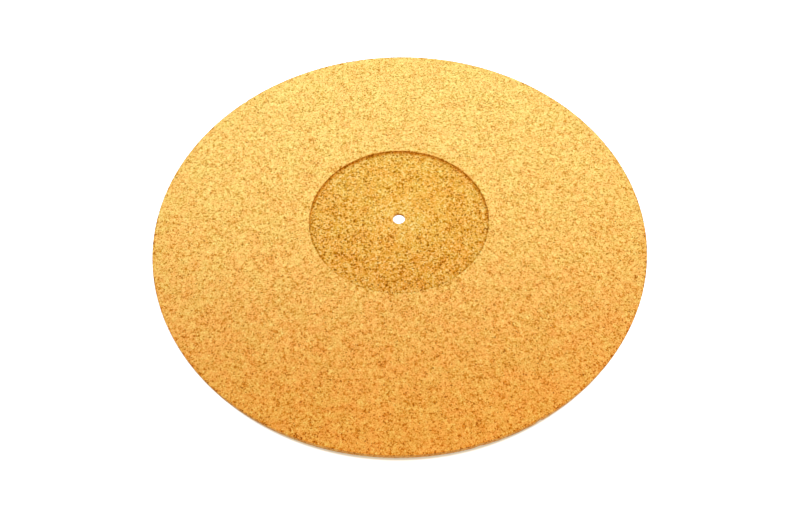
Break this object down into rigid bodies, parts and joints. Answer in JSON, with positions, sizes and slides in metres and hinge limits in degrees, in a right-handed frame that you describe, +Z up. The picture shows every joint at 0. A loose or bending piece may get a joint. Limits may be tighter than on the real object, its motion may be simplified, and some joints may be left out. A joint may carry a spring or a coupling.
{
  "type": "turntable mat",
  "caption": "Thin round cork mat for a record player's platter, with a shallow label recess and a spindle hole.",
  "frame": {"origin": "on the spindle axis, in the plane of the underside that lies on the platter", "axes": "+Z up along the spindle axis, towards the record; X and Y lie in the underside and are alike"},
  "size_m": [0.295, 0.295, 0.0035],
  "materials": {
    "cork": "matte, fine-grained pressed cork"
  },
  "bodies": {
    "root": {"cork_mat": "cork"}
  },
  "joints": []
}
